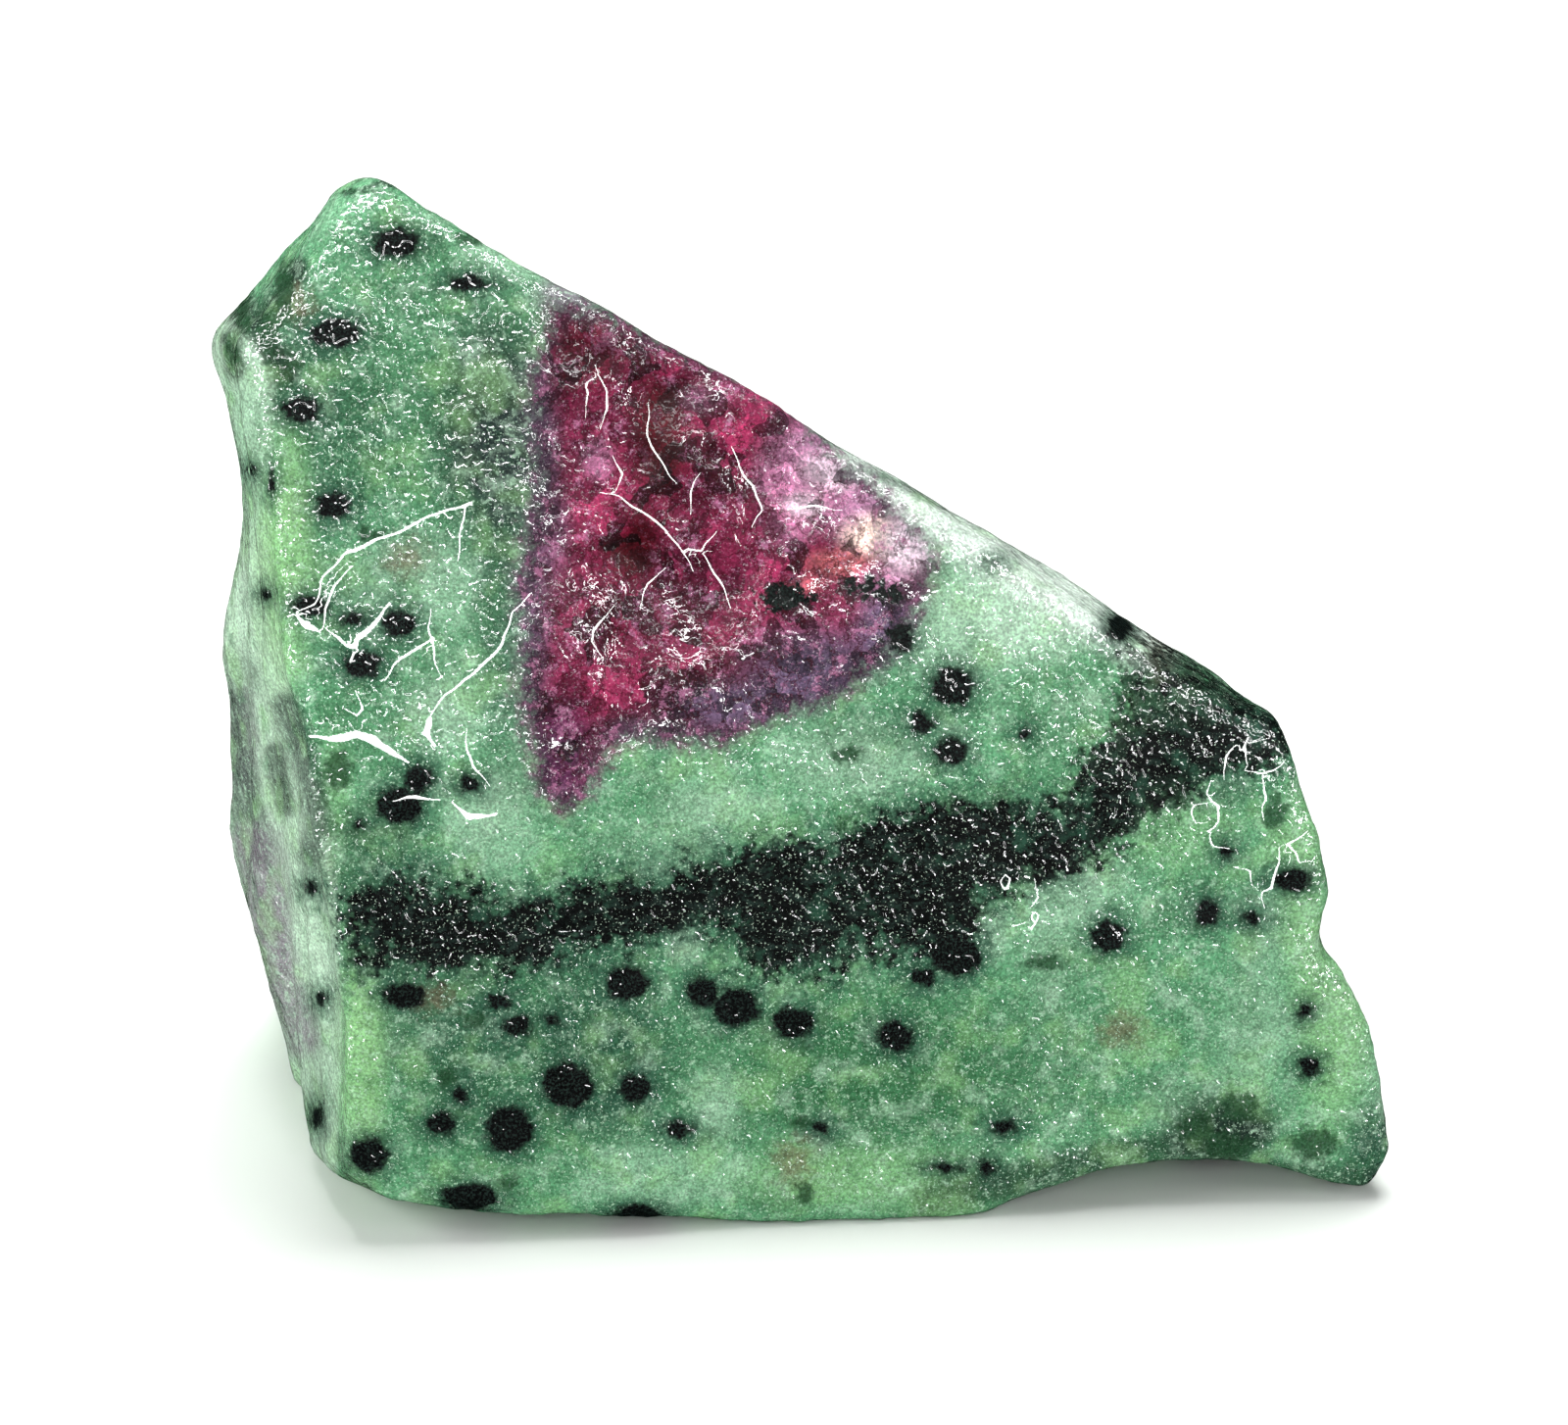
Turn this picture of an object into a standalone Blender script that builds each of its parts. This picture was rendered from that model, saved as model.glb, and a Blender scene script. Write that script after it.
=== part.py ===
"""Ruby in zoisite: one rough stone, as it was broken from the vein.

A block is split along the stone's flat breaks, flake scars are bitten out of it and its edges are
worn a little. Then the surface gets its relief: long flutes down the left break, hackly steps where
the ruby crystal is broken across, and a low swell everywhere. It stands on a flat of its underside.
The ruby face looks along -Y, and the origin is under the middle of the stone's box.
"""

import math

import bmesh
import bpy
from mathutils import Matrix, Vector, noise

NAME = "ruby_in_zoisite"
MM = 0.001

# All lengths and points below are in millimetres. The splitting starts from a block around the heart.
HEART = (-3.0, 0.0, 18.0)
BLOCK_SIDE = 90.0
SPARE_BELOW_REST = 1.5

# Each flat break, by three points that lie on it. The side that holds the heart stays.
BREAKS = {
    "foot_face": ((-23.4, -15.3, 14.0), (26.8, -10.5, 14.0), (-21.3, -15.9, 1.5)),
    "belly_face": ((-23.4, -15.3, 14.0), (26.8, -10.5, 14.0), (-24.0, -13.6, 26.0)),
    "ruby_face": ((-24.4, -13.6, 26.0), (24.6, -8.8, 25.6), (-21.2, -5.0, 53.0)),
    "shoulder_face": ((-23.6, -2.5, 52.2), (-25.6, -6.4, 48.6), (-30.4, 4.0, 42.4)),
    "left_break": ((-26.4, -10.5, 36.0), (-30.2, 4.0, 42.2), (-31.4, 8.0, 18.3)),
    "left_undercut": ((-30.9, 8.0, 13.0), (-28.2, 7.0, 0.5), (-26.7, -7.0, 3.0)),
    "ridge_slope": ((-21.0, -4.4, 53.8), (0.3, -6.1, 41.5), (2.5, 3.9, 34.8)),
    "ridge_strip": ((1.5, -6.5, 40.4), (18.3, -8.3, 29.2), (9.2, -3.2, 34.6)),
    "upper_back_break": ((-24.0, -1.0, 52.0), (-8.0, 1.5, 42.0), (-6.0, 13.5, 27.0)),
    "lower_back_slope": ((3.0, 0.0, 37.2), (18.5, -3.0, 28.6), (8.0, 13.0, 17.0)),
    "shoulder_back": ((-23.6, -2.3, 52.2), (-30.4, 4.2, 42.6), (-17.3, 9.7, 42.5)),
    "rear_left_break": ((-31.2, 8.5, 15.0), (-30.0, 5.5, 40.0), (-17.0, 16.5, 14.0)),
    "back_break": ((-16.0, 17.0, 12.0), (12.0, 15.5, 6.0), (-14.0, 13.5, 30.0)),
    "rear_right_break": ((10.0, 16.0, 10.0), (25.0, 1.0, 8.0), (12.0, 12.0, 24.0)),
    "right_break": ((24.9, -9.0, 24.6), (30.7, -11.0, 3.5), (20.0, 9.0, 12.0)),
    "peak_chip": ((-24.0, -2.5, 52.0), (-21.0, -5.0, 53.2), (-21.5, 0.0, 53.6)),
    "right_tip_chip": ((31.4, -10.4, 3.4), (29.6, -10.4, 0.9), (27.9, -4.0, 1.6)),
    "toe_chamfer": ((-22.0, -15.3, 1.9), (-6.0, -14.0, 0.4), (-12.0, -8.0, -0.4)),
    "heel_chamfer": ((-25.6, -14.0, 4.0), (-26.5, -9.0, 1.5), (-22.0, -13.0, 0.8)),
    "rear_undercut": ((-16.0, 17.0, 6.0), (12.0, 15.8, 5.0), (-4.0, 12.0, 0.0)),
}

# Each flake scar is the bite of an ellipsoid: its centre, radii, and turn about X, Y and Z in degrees.
FLAKE_SCARS = {
    "waist_hollow": ((-37.1, 3.5, 33.0), (8.0, 11.0, 15.0), (0, 0, 0)),
    "column_hollow": ((-27.9, -12.5, 14.0), (3.6, 10.0, 20.0), (0, 0, 16)),
    "valley": ((-29.1, -4.6, 8.0), (2.6, 2.2, 12.0), (-4, -6, 0)),
    "arch": ((20.0, -14.0, -25.2), (27.0, 20.0, 27.6), (0, 2, 0)),
    "right_notch": ((29.6, -8.0, 15.4), (3.3, 6.0, 2.8), (0, -14, 0)),
    "ridge_scar": ((5.4, 15.0, 42.0), (18.0, 14.0, 15.0), (0, 20, 0)),
    "back_scar": ((-6.0, 30.5, 19.0), (20.0, 15.0, 15.0), (0, 12, 0)),
    "back_spall": ((19.0, 25.0, 13.0), (15.0, 16.0, 12.0), (0, 0, 20)),
    "rear_left_scar": ((-33.0, 20.5, 28.0), (13.0, 11.0, 16.0), (0, 0, 30)),
}

# The broken ruby crystal, by its outline on the ruby face as seen from the front: (x, z).
RUBY_OUTLINE = (
    (-13.2, 49.5), (-13.8, 42.0), (-14.2, 33.0), (-13.8, 27.0), (-12.4, 23.8), (-10.4, 25.5),
    (-3.4, 27.4), (1.6, 29.4), (6.4, 33.6), (5.0, 38.0), (-1.0, 44.0), (-10.0, 49.5),
)
RUBY_EDGE_WANDER = 0.9
RUBY_SUNK = 0.2

# The relief's waves and facets, each as (size, height), and the crispness of the steps between facets.
SWELLS = ((11.0, 0.45), (4.5, 0.24))
RUBY_FACETS = ((5.0, 2.2), (2.3, 1.3))
FACET_CRISPNESS = 9.0
FACET_SEED = 4
FLUTE_WIDTH = 2.8
FLUTE_LENGTH = 17.0
FLUTE_DEPTH = 0.7
FLUTE_WANDER = 2.2

WORN_GRID = 0.5
WORN_PASSES = 12
TRIANGLES = 9200


def remove_everything():
    for obj in list(bpy.data.objects):
        bpy.data.objects.remove(obj)


def new_collection(name):
    collection = bpy.data.collections.new(name)
    bpy.context.scene.collection.children.link(collection)
    return collection


def new_object(name, bm, collection):
    mesh = bpy.data.meshes.new(name)
    bm.to_mesh(mesh)
    bm.free()
    obj = bpy.data.objects.new(name, mesh)
    collection.objects.link(obj)
    return obj


def mm(point):
    return Vector(point) * MM


def cut_away(bm, point, outward):
    """Takes off what lies beyond the plane, and closes the cut with a flat face."""
    everything = bm.verts[:] + bm.edges[:] + bm.faces[:]
    cut = bmesh.ops.bisect_plane(
        bm, geom=everything, plane_co=point, plane_no=outward, clear_outer=True
    )
    rim = [part for part in cut["geom_cut"] if isinstance(part, bmesh.types.BMEdge)]
    bmesh.ops.holes_fill(bm, edges=rim)


def split_block(collection):
    """A block with one flat face for each break: what is beyond the break falls away."""
    bm = bmesh.new()
    bmesh.ops.create_cube(bm, size=BLOCK_SIDE * MM, matrix=Matrix.Translation(mm(HEART)))
    for corners in BREAKS.values():
        a, b, c = (mm(corner) for corner in corners)
        outward = (b - a).cross(c - a).normalized()
        if outward.dot(mm(HEART) - a) > 0:
            outward.negate()
        cut_away(bm, a, outward)
    cut_away(bm, mm((0, 0, -SPARE_BELOW_REST)), Vector((0, 0, -1)))
    return new_object(NAME, bm, collection)


def add_scar_cutter(name, centre, radii, turn, collection):
    turned = Matrix.Identity(4)
    for axis, degrees in zip("XYZ", turn):
        turned = Matrix.Rotation(math.radians(degrees), 4, axis) @ turned
    place = Matrix.Translation(mm(centre)) @ turned @ Matrix.Diagonal((*mm(radii), 1))
    bm = bmesh.new()
    bmesh.ops.create_icosphere(bm, subdivisions=4, radius=1, matrix=place)
    cutter = new_object(name, bm, collection)
    cutter.hide_render = True
    cutter.display_type = "WIRE"
    return cutter


def bite(stone, cutter):
    modifier = stone.modifiers.new(cutter.name, "BOOLEAN")
    modifier.operation = "DIFFERENCE"
    modifier.object = cutter


def wear_edges(stone):
    """Rounds every edge a little, as on a stone that has lain in rubble."""
    grid = stone.modifiers.new("worn grid", "REMESH")
    grid.mode = "VOXEL"
    grid.voxel_size = WORN_GRID * MM
    smooth = stone.modifiers.new("worn edges", "SMOOTH")
    smooth.factor = 0.5
    smooth.iterations = WORN_PASSES


def apply_modifiers(obj):
    graph = bpy.context.evaluated_depsgraph_get()
    made = bpy.data.meshes.new_from_object(obj.evaluated_get(graph))
    obj.modifiers.clear()
    obj.data = made


def clamp(value):
    return min(1.0, max(0.0, value))


def ramp(value, low, high):
    """0 below low, 1 above high, and smooth between them."""
    share = clamp((value - low) / (high - low))
    return share * share * (3 - 2 * share)


def depth_inside(x, z, outline):
    """How far the point (x, z) lies inside the outline; negative outside it."""
    nearest = math.inf
    inside = False
    for (x0, z0), (x1, z1) in zip(outline, outline[1:] + outline[:1]):
        run, rise = x1 - x0, z1 - z0
        along = clamp(((x - x0) * run + (z - z0) * rise) / (run * run + rise * rise))
        nearest = min(nearest, math.hypot(x - x0 - along * run, z - z0 - along * rise))
        if (z0 > z) != (z1 > z) and x < x0 + (z - z0) / rise * run:
            inside = not inside
    return nearest if inside else -nearest


def broken_facets(place, size, height):
    """A hackly fracture: each cell is a flat facet with a lean of its own."""
    distances, seats = noise.voronoi(place / size)
    risen = 0.0
    total = 0.0
    for distance, seat in zip(distances, seats):
        share = math.exp((distances[0] - distance) * FACET_CRISPNESS)
        lean = noise.noise_vector(seat * 7.3)
        risen += share * (place / size - seat).dot(lean) * height
        total += share
    return risen / total


def ruby_relief(place, normal):
    edge = depth_inside(place.x, place.z, RUBY_OUTLINE) + RUBY_EDGE_WANDER * noise.noise(place / 2.6)
    share = ramp(edge, -0.4, 1.2) * ramp(-normal.y, 0.1, 0.4)
    return share * (sum(broken_facets(place, *facets) for facets in RUBY_FACETS) - RUBY_SUNK)


def flute_relief(place, normal):
    """Long, uneven grooves that run down the left break."""
    wander = FLUTE_WANDER * noise.noise(Vector((3.0, 0.0, place.z / 13.0)))
    along = Vector(((place.y + wander) / FLUTE_WIDTH, 5.0, place.z / FLUTE_LENGTH))
    groove = noise.noise(along) + 0.35 * noise.noise(along * 2.3)
    return ramp(-normal.x, 0.55, 0.85) * FLUTE_DEPTH * groove


def carve_relief(stone):
    mesh = stone.data
    carved = []
    for vertex in mesh.vertices:
        place = vertex.co / MM
        height = sum(rise * noise.noise(place / size) for size, rise in SWELLS)
        height += ruby_relief(place, vertex.normal) + flute_relief(place, vertex.normal)
        carved.append(vertex.co + vertex.normal * height * MM)
    for vertex, target in zip(mesh.vertices, carved):
        vertex.co = target


def thin_out(stone):
    """Fewer triangles: flat stretches lose the most, and the ruby keeps its steps."""
    modifier = stone.modifiers.new("facets", "DECIMATE")
    modifier.ratio = TRIANGLES / (2 * len(stone.data.polygons))
    modifier.use_collapse_triangulate = True


def cut_rest_flat(stone):
    """The flat that the stone stands on."""
    bm = bmesh.new()
    bm.from_mesh(stone.data)
    cut_away(bm, Vector((0, 0, 0)), Vector((0, 0, -1)))
    bmesh.ops.triangulate(bm, faces=bm.faces[:])
    bm.to_mesh(stone.data)
    bm.free()


def centre_over_origin(stone):
    corners = [vertex.co for vertex in stone.data.vertices]
    low = [min(corner[i] for corner in corners) for i in range(3)]
    high = [max(corner[i] for corner in corners) for i in range(3)]
    base = Vector(((low[0] + high[0]) / 2, (low[1] + high[1]) / 2, low[2]))
    stone.data.transform(Matrix.Translation(-base))


def give_material(stone):
    material = bpy.data.materials.new("zoisite")
    material.use_nodes = True
    shader = material.node_tree.nodes["Principled BSDF"]
    shader.inputs["Base Color"].default_value = (0.15, 0.38, 0.20, 1)
    shader.inputs["Roughness"].default_value = 0.35
    shader.inputs["Metallic"].default_value = 0.0
    stone.data.materials.append(material)


def main():
    noise.seed_set(FACET_SEED)
    remove_everything()
    stone = split_block(new_collection(NAME))
    cutters = new_collection("flake_scar_cutters")
    for name, (centre, radii, turn) in FLAKE_SCARS.items():
        bite(stone, add_scar_cutter(name, centre, radii, turn, cutters))
    wear_edges(stone)
    apply_modifiers(stone)
    carve_relief(stone)
    thin_out(stone)
    apply_modifiers(stone)
    cut_rest_flat(stone)
    centre_over_origin(stone)
    give_material(stone)
    stone.data.shade_smooth()
    stone.data.set_sharp_from_angle(angle=math.radians(35))


main()
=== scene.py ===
"""Ruby in zoisite: the looks of one rough stone.

The frame's solid gets a fine skin: granular green rock and hackly broken ruby. Then every point of
the skin learns how far it lies inside each grain, the dark seam and the ruby, and how far beside the
nearest ridge of the gloss. The material turns that into colour, sharp edges and wet gloss.

Places marked as (across, up) are millimetres on the viewing sheet: a flat sheet through LOOK_AT,
square to the camera's line of sight. What is drawn there is carried along the sight lines onto the
stone, and runs on into it to a depth, so it also shows on the far side of a thin edge.
"""

import math
import random

import bpy
import numpy as np
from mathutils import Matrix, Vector, noise
from mathutils.bvhtree import BVHTree


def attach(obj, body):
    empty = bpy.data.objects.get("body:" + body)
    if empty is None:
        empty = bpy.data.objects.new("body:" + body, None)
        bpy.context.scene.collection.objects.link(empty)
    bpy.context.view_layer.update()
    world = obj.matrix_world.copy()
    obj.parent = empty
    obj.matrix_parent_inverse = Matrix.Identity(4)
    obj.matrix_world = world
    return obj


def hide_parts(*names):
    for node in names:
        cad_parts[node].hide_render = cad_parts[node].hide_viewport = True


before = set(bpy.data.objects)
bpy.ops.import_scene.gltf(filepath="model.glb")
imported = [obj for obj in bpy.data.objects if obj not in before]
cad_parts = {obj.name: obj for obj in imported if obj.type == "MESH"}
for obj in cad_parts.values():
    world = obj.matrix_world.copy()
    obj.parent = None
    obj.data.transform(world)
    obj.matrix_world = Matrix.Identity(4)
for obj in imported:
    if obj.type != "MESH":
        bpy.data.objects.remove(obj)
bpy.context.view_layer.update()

bl_info = {
    "name": "Ruby in Zoisite",
    "version": (1, 0, 0),
    "blender": (4, 5, 0),
    "location": "3D View > Sidebar > Stone",
    "description": "Gives a rough ruby in zoisite its fine skin, its colours and its studio",
    "category": "Object",
}

NODE = "ruby_in_zoisite"
STONE = "zoisite_stone"
SLOT = "zoisite"
BODY = "root"
MM = 0.001

# The viewing sheet and the camera.
LOOK_AT = Vector((-0.93, -7.09, 25.6)) * MM
LOOK_DOWN = math.radians(25)
CAMERA_DISTANCE = 280 * MM
SIGHT = Vector((0, math.cos(LOOK_DOWN), -math.sin(LOOK_DOWN)))
SHEET_UP = Vector((0, math.sin(LOOK_DOWN), math.cos(LOOK_DOWN)))
SHEET_ACROSS = Vector((1, 0, 0))
EYE = LOOK_AT - SIGHT * CAMERA_DISTANCE

# Further in or out than this, a distance no longer matters.
FAR = 6.0

# Black hornblende grains: (across, up, half width, half height).
HORNBLENDE = (
    (-19.75, 23.95, 1.25, 0.75), (-16.1, 21.9, 1.0, 0.45), (-22.85, 19.35, 1.2, 0.75),
    (-24.6, 15.45, 1.0, 0.7), (-23.0, 10.6, 0.9, 0.7), (-26.15, 11.85, 0.2, 0.6),
    (-24.2, 5.45, 0.9, 0.6), (-21.9, 4.75, 0.6, 0.35), (-19.6, 4.55, 0.9, 0.75),
    (-21.5, 2.45, 1.0, 0.7), (-18.65, -3.4, 0.8, 0.8), (-19.6, -4.75, 1.2, 0.95),
    (-16.0, -3.65, 0.6, 0.45), (-21.7, -5.8, 0.3, 0.3), (-19.4, -14.45, 1.1, 0.65),
    (-14.6, -14.75, 0.6, 0.45), (-13.6, -15.95, 0.8, 0.55), (-11.8, -15.7, 0.35, 0.35),
    (-16.5, -19.5, 0.45, 0.4), (-17.5, -21.0, 0.75, 0.6), (-14.05, -21.25, 1.2, 1.25),
    (-11.0, -19.05, 1.35, 1.2), (-7.6, -19.15, 0.8, 0.75), (-5.35, -21.3, 0.7, 0.45),
    (-21.2, -22.6, 1.0, 0.9), (-16.0, -24.75, 1.5, 0.7), (-7.5, -25.55, 1.3, 0.45),
    (-8.0, -13.8, 1.1, 0.9), (-4.1, -14.25, 0.85, 0.85), (-2.4, -15.05, 1.2, 1.0),
    (0.5, -15.85, 1.1, 0.8), (5.65, -16.55, 0.95, 0.85), (8.75, -12.4, 1.3, 1.1),
    (7.15, -13.5, 0.7, 0.5), (16.5, -11.4, 0.85, 0.85), (21.6, -10.2, 0.65, 0.7),
    (23.85, -10.5, 0.5, 0.4), (22.5, -7.05, 0.4, 0.4), (25.9, -8.55, 1.0, 0.6),
    (12.25, -1.1, 0.3, 0.3), (10.75, 7.65, 0.35, 0.2), (17.1, 4.35, 0.7, 0.7),
    (8.6, 1.35, 1.1, 1.0), (7.05, -0.55, 0.65, 0.6), (8.55, -2.0, 0.85, 0.7),
    (5.9, 3.85, 0.75, 0.85), (11.25, -21.15, 0.6, 0.4), (26.6, -15.25, 0.35, 0.35),
    (26.75, -18.05, 0.6, 0.5), (1.9, -21.25, 0.4, 0.3), (8.25, -23.25, 0.8, 0.25),
    (10.4, -23.25, 0.4, 0.4), (-11.4, -10.15, 0.2, 0.2), (-27.15, 12.35, 0.25, 0.25),
    (-26.5, 6.0, 0.25, 0.3), (-24.1, -8.9, 0.35, 0.35), (-23.6, -14.55, 0.3, 0.35),
    (-23.85, -20.65, 0.3, 0.6), (0.0, 5.85, 1.25, 0.75),
    (4.0, 6.5, 1.0, 0.45), (5.0, 6.0, 0.9, 0.4),
)

# Dark green grains, not as black.
MOSS = (
    (-22.75, -2.9, 0.75, 1.0), (-15.8, -15.75, 0.6, 0.4), (-17.15, -18.55, 0.55, 0.55),
    (-13.95, -23.95, 0.4, 0.4), (-21.4, -24.55, 0.3, 0.3), (13.25, -12.75, 1.0, 0.4),
    (25.0, -5.15, 0.6, 0.9), (3.1, -2.15, 0.8, 0.45), (3.1, -5.55, 0.3, 0.3),
    (0.75, -20.8, 0.55, 0.3), (1.0, -24.55, 0.5, 0.5), (-15.85, 24.2, 0.75, 0.35),
    (21.0, -21.15, 1.0, 0.8), (23.25, -20.15, 1.1, 0.7), (22.5, -22.15, 1.2, 0.8),
    (-21.1, 9.1, 0.7, 0.4), (27.0, -22.0, 1.2, 0.9), (-25.5, 21.3, 0.45, 1.7),
    (-26.2, 19.3, 0.6, 1.3), (-25.2, 17.9, 0.6, 0.7), (-27.6, 20.3, 0.4, 0.9),
    (-28.1, 18.3, 0.35, 0.8), (-21.4, 26.6, 0.9, 0.12),
)

# Grains on the hidden sides: how many, and how far behind the front they start.
HIDDEN_HORNBLENDE = 120
HIDDEN_MOSS = 30
HIDDEN_DEPTH = 3.5

# Brown stains.
RUST = (
    (17.25, -16.15, 1.0, 0.8), (0.5, -22.9, 0.9, 1.0), (19.15, 2.75, 0.5, 1.3),
    (-24.75, 20.85, 0.7, 0.7), (-17.75, -14.55, 0.8, 0.6), (-19.25, 7.85, 0.9, 0.7),
)

# The dark seam's outline, and how far it wanders up and down towards the back.
SEAM_WANDER = 2.5
SEAM = (
    (-22.4, -9.4), (-20.0, -8.55), (-17.5, -8.9), (-14.0, -9.9), (-10.0, -9.05), (-6.0, -8.3),
    (-2.75, -7.25), (0.0, -7.05), (3.0, -6.55), (5.25, -5.4), (8.0, -4.9), (12.0, -4.75),
    (14.25, -5.2), (15.5, -4.2), (17.5, -2.15), (20.0, -0.9), (23.0, 0.1), (25.8, -0.4),
    (25.8, -1.9), (22.5, -2.9), (20.0, -3.4), (18.0, -4.4), (16.5, -6.15), (14.5, -7.9),
    (12.0, -8.4), (10.0, -9.9), (9.25, -11.9), (6.5, -12.4), (4.0, -11.9), (2.5, -12.9),
    (-1.0, -12.9), (-3.0, -11.4), (-5.0, -10.9), (-8.0, -11.9), (-11.0, -12.65),
    (-15.0, -12.9), (-19.0, -13.15), (-21.75, -12.9),
)

# Where the seam fans out into dark teal rock, up to the ridge.
SEAM_FAN = (
    (18.25, 4.35), (20.75, 3.1), (24.0, 1.0), (26.5, -0.9), (26.5, -2.4), (22.0, -3.65),
    (17.5, -6.15), (14.75, -7.65), (13.0, -7.15), (15.0, -3.65), (16.5, -0.65), (17.5, 1.85),
)

# The ruby's outline, and how deep it goes.
RUBY = (
    (-11.9, 20.5), (-12.25, 19.4), (-13.0, 16.35), (-12.6, 12.35), (-13.25, 8.35),
    (-13.75, 6.35), (-13.25, 3.85), (-13.5, 1.35), (-13.0, -1.65), (-12.75, -3.65),
    (-11.25, -5.15), (-10.0, -4.4), (-9.25, -2.65), (-8.0, -1.4), (-3.0, -1.65), (-0.5, -0.4),
    (2.5, 0.6), (5.0, 2.35), (6.5, 4.35), (7.5, 6.35), (7.9, 7.6), (7.0, 9.1), (5.25, 11.1),
    (2.5, 13.35), (0.5, 15.85), (-3.25, 17.85), (-9.8, 20.9),
)
RUBY_DEPTH = 9.0

# The greyer left face. Its mist tint is partly its own greyed green, partly painted light from the
# left lamp.
LEFT_FACE = (
    (-29.5, 21.8), (-27.2, 20.7), (-26.4, 18.6), (-25.75, 16.85), (-26.1, 12.35),
    (-26.1, 8.35), (-25.6, 3.85), (-24.75, -0.65), (-23.75, -3.65), (-22.75, -8.15),
    (-22.4, -16.15), (-22.75, -24.4), (-32.0, -24.4), (-32.0, 21.8),
)

# Clouds of tint in the zoisite: (colour, across, up, half width, half height, strength).
ROCK_CLOUDS = (
    ("green", -18.0, 15.4, 6.0, 6.0, 0.55), ("green", -14.0, -18.2, 9.0, 6.0, 0.75),
    ("green", 5.0, -18.2, 9.5, 4.5, 1.0), ("green", 17.0, -16.2, 6.0, 5.0, 0.35),
    ("green", -20.5, 0.4, 3.5, 4.0, 0.5), ("green", -7.0, -4.7, 2.0, 2.0, 0.3),
    # Painted sheen: the two pale clouds on the next line lay the overhead light's veil below the
    # ridge.
    ("pale", 12.0, 5.35, 3.5, 2.5, 1.0), ("pale", 8.75, 4.35, 3.0, 3.0, 0.5),
    ("pale", -17.5, -0.15, 2.0, 2.0, 0.4), ("pale", -19.0, 6.35, 3.5, 2.5, 0.35),
    ("pale", -15.0, -6.15, 2.5, 2.5, 0.3), ("lime", -25.5, 8.35, 1.5, 7.0, 0.75),
    ("lime", -21.5, -17.2, 1.2, 9.0, 0.7), ("lime", -23.0, -5.2, 1.0, 4.0, 0.4),
    ("mid", -27.2, 13.8, 1.6, 4.5, 0.4), ("smoke", -27.6, 1.9, 0.9, 1.4, 0.5),
    ("pale", -13.0, 23.1, 3.5, 1.2, 0.4), ("pale", -3.5, -20.2, 1.3, 2.2, 0.35),
    ("pale", -5.0, -11.6, 1.0, 1.3, 0.6), ("pale", 10.0, -11.1, 1.6, 1.4, 0.6),
    ("lime", 4.0, -23.7, 7.0, 1.6, 0.5), ("lime", 28.0, -16.2, 1.8, 5.0, 0.6),
    ("lime", 26.5, -8.7, 1.2, 6.0, 0.5), ("pale", -6.0, -23.7, 4.0, 1.5, 0.3),
    ("pale", -3.0, -4.7, 2.5, 1.0, 0.35), ("pale", 3.5, -2.5, 4.0, 2.0, 0.35),
    ("pale", 15.0, -9.0, 3.0, 2.0, 0.3), ("lime", 20.0, -6.0, 3.0, 2.0, 0.35),
    ("teal", -24.5, 18.4, 1.8, 3.0, 0.6), ("teal", -22.0, 13.4, 2.5, 4.0, 0.4),
    ("teal", -20.5, -7.2, 3.0, 2.5, 0.6), ("green", 14.0, -0.7, 3.0, 3.0, 0.4),
    ("teal", -9.0, -17.7, 3.5, 4.0, 0.9), ("teal", -16.0, -16.7, 3.5, 3.0, 0.7),
    # Painted shade: the dark cloud on this line darkens the lower right edge over the raised
    # underside.
    ("teal", -22.0, 5.0, 3.0, 2.5, 0.35), ("dark", 22.5, -21.2, 2.8, 2.0, 0.9),
    ("teal", 30.5, -22.4, 2.0, 2.6, 0.9),
    ("smoke", -14.6, 14.2, 3.2, 6.2, 1.0), ("smoke", -14.3, 5.0, 1.5, 8.0, 0.6),
    ("lilac_grey", -11.15, 21.35, 1.5, 1.2, 0.9), ("lilac_grey", -26.25, -10.15, 1.1, 4.5, 0.7),
    ("lilac_grey", -27.5, -1.65, 0.7, 3.0, 0.6),
)

# Streaks of tint: (colour, half width, strength, points).
ROCK_STREAKS = (
    # Painted sheen: the first streak lays the overhead light's pale veil along the ridge by the ruby.
    ("milk_and_sheen", 1.7, 1.0, ((4.0, 12.35), (7.5, 10.6), (11.5, 8.35), (15.0, 6.1), (18.5, 4.1))),
    # Painted shade: the next two dark streaks darken the lower right edge, over the raised underside.
    ("dark", 0.9, 0.75, ((7.5, -24.9), (14.0, -23.3), (19.0, -22.3), (24.0, -21.3))),
    ("dark", 0.7, 0.6, ((24.5, -23.3), (30.0, -23.9))),
    ("dark", 0.25, 0.6, ((4.0, 12.45), (7.0, 11.1), (10.5, 9.5), (13.0, 7.85))),
    ("dark", 0.65, 0.95, ((-24.8, 22.6), (-25.55, 21.2), (-26.45, 20.2), (-26.6, 19.2),
                        (-25.95, 18.15), (-25.45, 17.25))),
    ("dark", 0.65, 0.9, ((-27.6, 20.95), (-27.75, 20.2), (-27.35, 19.7))),
    ("dark", 0.5, 0.85, ((-28.3, 19.05), (-28.1, 18.15), (-27.95, 17.5))),
    ("dark", 0.14, 0.8, ((-22.4, 26.45), (-21.6, 26.65), (-20.6, 27.0), (-19.7, 26.85))),
    ("dark", 0.5, 0.85, ((-25.95, -2.0), (-25.75, -3.3), (-25.45, -4.9))),
    ("smoke", 0.75, 0.8, ((-25.4, 0.3), (-24.6, -1.8), (-24.1, -3.6), (-23.7, -5.8), (-24.1, -7.2))),
    ("smoke", 0.9, 0.75, ((-28.3, 0.4), (-28.1, -1.6), (-27.5, -3.9), (-27.0, -6.9))),
    ("lilac_grey", 0.9, 0.8, ((-27.25, -6.5), (-26.5, -9.65), (-25.5, -13.65), (-24.6, -16.65))),
)

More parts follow.
